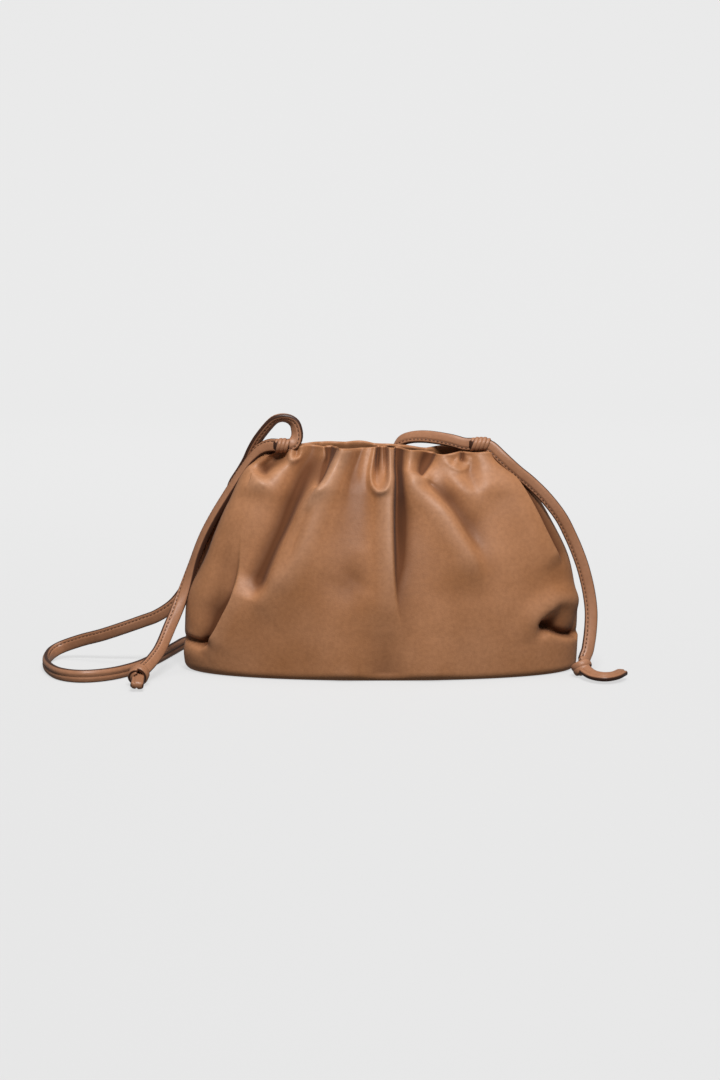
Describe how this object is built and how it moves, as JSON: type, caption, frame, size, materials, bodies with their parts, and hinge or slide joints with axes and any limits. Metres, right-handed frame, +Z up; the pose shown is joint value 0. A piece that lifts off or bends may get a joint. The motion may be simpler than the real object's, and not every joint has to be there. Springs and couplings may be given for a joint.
{
  "type": "gathered leather pouch bag with tied cord strap",
  "caption": "Soft gathered leather pouch with a flat base, pleated front, open drawn mouth and a thin tied cord strap with knotted ends.",
  "frame": {"origin": "centre of the pouch at the height of its flat base, without the cord", "axes": "+Z up, the gathered front faces -Y, +X to the right seen from the front"},
  "size_m": [0.3576, 0.1564, 0.1575],
  "materials": {
    "nappa_leather": "smooth, soft sheen",
    "cord_leather": "smooth, folded and edge stitched"
  },
  "bodies": {
    "root": {"pouch_body": "nappa_leather", "strap": "cord_leather", "tie_end_left": "cord_leather", "tie_end_right": "cord_leather", "wrap_left": "cord_leather", "wrap_right": "cord_leather", "end_knot_left": "cord_leather", "end_knot_right": "cord_leather"}
  },
  "joints": []
}
